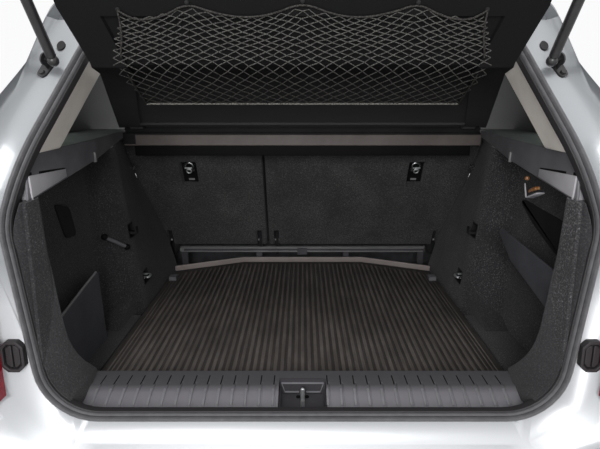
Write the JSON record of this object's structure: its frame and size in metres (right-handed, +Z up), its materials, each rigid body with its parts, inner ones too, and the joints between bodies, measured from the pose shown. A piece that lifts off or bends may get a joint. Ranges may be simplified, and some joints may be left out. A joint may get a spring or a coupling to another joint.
{
  "type": "luggage bay of a compact crossover, rear body section",
  "caption": "Open luggage bay of a compact crossover: rear body section with folding seat backs, raised parcel shelf, ribbed load floor and gas struts.",
  "frame": {"origin": "centre of the front cross member's front face, level with the top of the load floor", "axes": "+X to the right seen from behind the car, +Y towards the front of the car, +Z up"},
  "size_m": [1.783, 1.3, 1.4168],
  "materials": {
    "body_paint": "silver clear-coat paint",
    "bumper_paint": "silver clear-coat paint on plastic",
    "underbody": "electrocoat primer",
    "seal_rubber": "extruded sponge rubber, matt",
    "trim_carpet": "needle-punched felt",
    "trim_plastic": "moulded, fine grain",
    "sill_plastic": "moulded, fine grain",
    "strip_plastic": "moulded, fine grain",
    "pillar_plastic": "moulded, fine grain",
    "floor_mat": "ribbed rubber mat",
    "foam": "moulded bead foam",
    "bright_steel": "bright zinc plate",
    "strut_steel": "ground and plated",
    "strut_paint": "stoved black enamel",
    "window_glass": "green-tinted toughened glass",
    "lamp_red": "polished acrylic",
    "net_cord": "braided nylon cord"
  },
  "bodies": {
    "root": {"bag_hooks": "trim_plastic", "blanking_plugs": "seal_rubber", "bumper_beam": "underbody", "bumper_cover": "bumper_paint", "cargo_guard_left": "trim_plastic", "cargo_guard_right": "trim_plastic", "chassis_rails": "underbody", "floor_bearers": "foam", "floor_pan": "underbody", "lashing_eyes": "trim_plastic", "latch_plate": "sill_plastic", "latch_striker": "bright_steel", "ledge_trim_left": "trim_plastic", "ledge_trim_right": "trim_plastic", "opening_seal": "seal_rubber", "pillar_trim_left": "pillar_plastic", "pillar_trim_right": "pillar_plastic", "quarter_glass_left": "window_glass", "quarter_glass_right": "window_glass", "quarter_panel_left": "body_paint", "quarter_panel_right": "body_paint", "rear_panel": "body_paint", "roof_header": "body_paint", "seat_cross_member": "underbody", "seat_foot_rail": "trim_plastic", "seat_hinge_arms": "strut_steel", "seat_strikers": "bright_steel", "shelf_front_strip": "strip_plastic", "side_trim_left": "trim_carpet", "side_trim_right": "trim_carpet", "sill_trim": "sill_plastic", "stop_buffers": "seal_rubber", "strut_studs": "strut_steel", "tail_lamp_left": "lamp_red", "tail_lamp_right": "lamp_red", "wheel_house_left": "underbody", "wheel_house_right": "underbody"},
    "seat_left": {"seat_back_left": "trim_carpet", "tether_anchor_left": "bright_steel"},
    "seat_right": {"seat_back_right": "trim_carpet", "tether_anchor_right": "bright_steel"},
    "parcel_shelf": {"parcel_shelf": "trim_plastic", "shelf_net": "net_cord"},
    "load_floor": {"load_floor": "floor_mat", "load_floor_lip": "strip_plastic", "floor_catches": "trim_plastic"},
    "strut_tube_left": {"strut_tube_left": "strut_paint"},
    "strut_tube_right": {"strut_tube_right": "strut_paint"},
    "strut_rod_left": {"strut_rod_left": "strut_steel"},
    "strut_rod_right": {"strut_rod_right": "strut_steel"}
  },
  "joints": [
    {"name": "seat_left_fold", "type": "hinge", "parent": "root", "child": "seat_left", "pos_m": [-0.36, -0.135, 0.1], "axis": [-1, 0, 0], "range_deg": [0, 105]},
    {"name": "seat_right_fold", "type": "hinge", "parent": "root", "child": "seat_right", "pos_m": [0.24, -0.135, 0.1], "axis": [-1, 0, 0], "range_deg": [0, 105]},
    {"name": "shelf_tilt", "type": "hinge", "parent": "root", "child": "parcel_shelf", "pos_m": [0, -0.45, 0.563], "axis": [1, 0, 0], "range_deg": [0, 15.8]},
    {"name": "floor_lift", "type": "hinge", "parent": "root", "child": "load_floor", "pos_m": [0, -0.212, 0], "axis": [-1, 0, 0], "range_deg": [0, 38]},
    {"name": "strut_swing_left", "type": "hinge", "parent": "root", "child": "strut_tube_left", "pos_m": [-0.482, -1.01567, 0.7191], "axis": [0.963, -0.2135, -0.1647], "range_deg": [0, 109.5]},
    {"name": "strut_swing_right", "type": "hinge", "parent": "root", "child": "strut_tube_right", "pos_m": [0.482, -1.01567, 0.7191], "axis": [0.963, 0.2135, 0.1647], "range_deg": [0, 109.5]},
    {"name": "strut_slide_left", "type": "slide", "parent": "strut_tube_left", "child": "strut_rod_left", "axis": [0.0201, -0.5523, 0.8334], "range_m": [-0.171, 0]},
    {"name": "strut_slide_right", "type": "slide", "parent": "strut_tube_right", "child": "strut_rod_right", "axis": [-0.0201, -0.5523, 0.8334], "range_m": [-0.171, 0]}
  ],
  "couplings": [
    {"joint": "strut_slide_left", "follows": "strut_swing_left", "m_per_rad": -0.088952},
    {"joint": "strut_slide_right", "follows": "strut_swing_right", "m_per_rad": -0.088952}
  ]
}
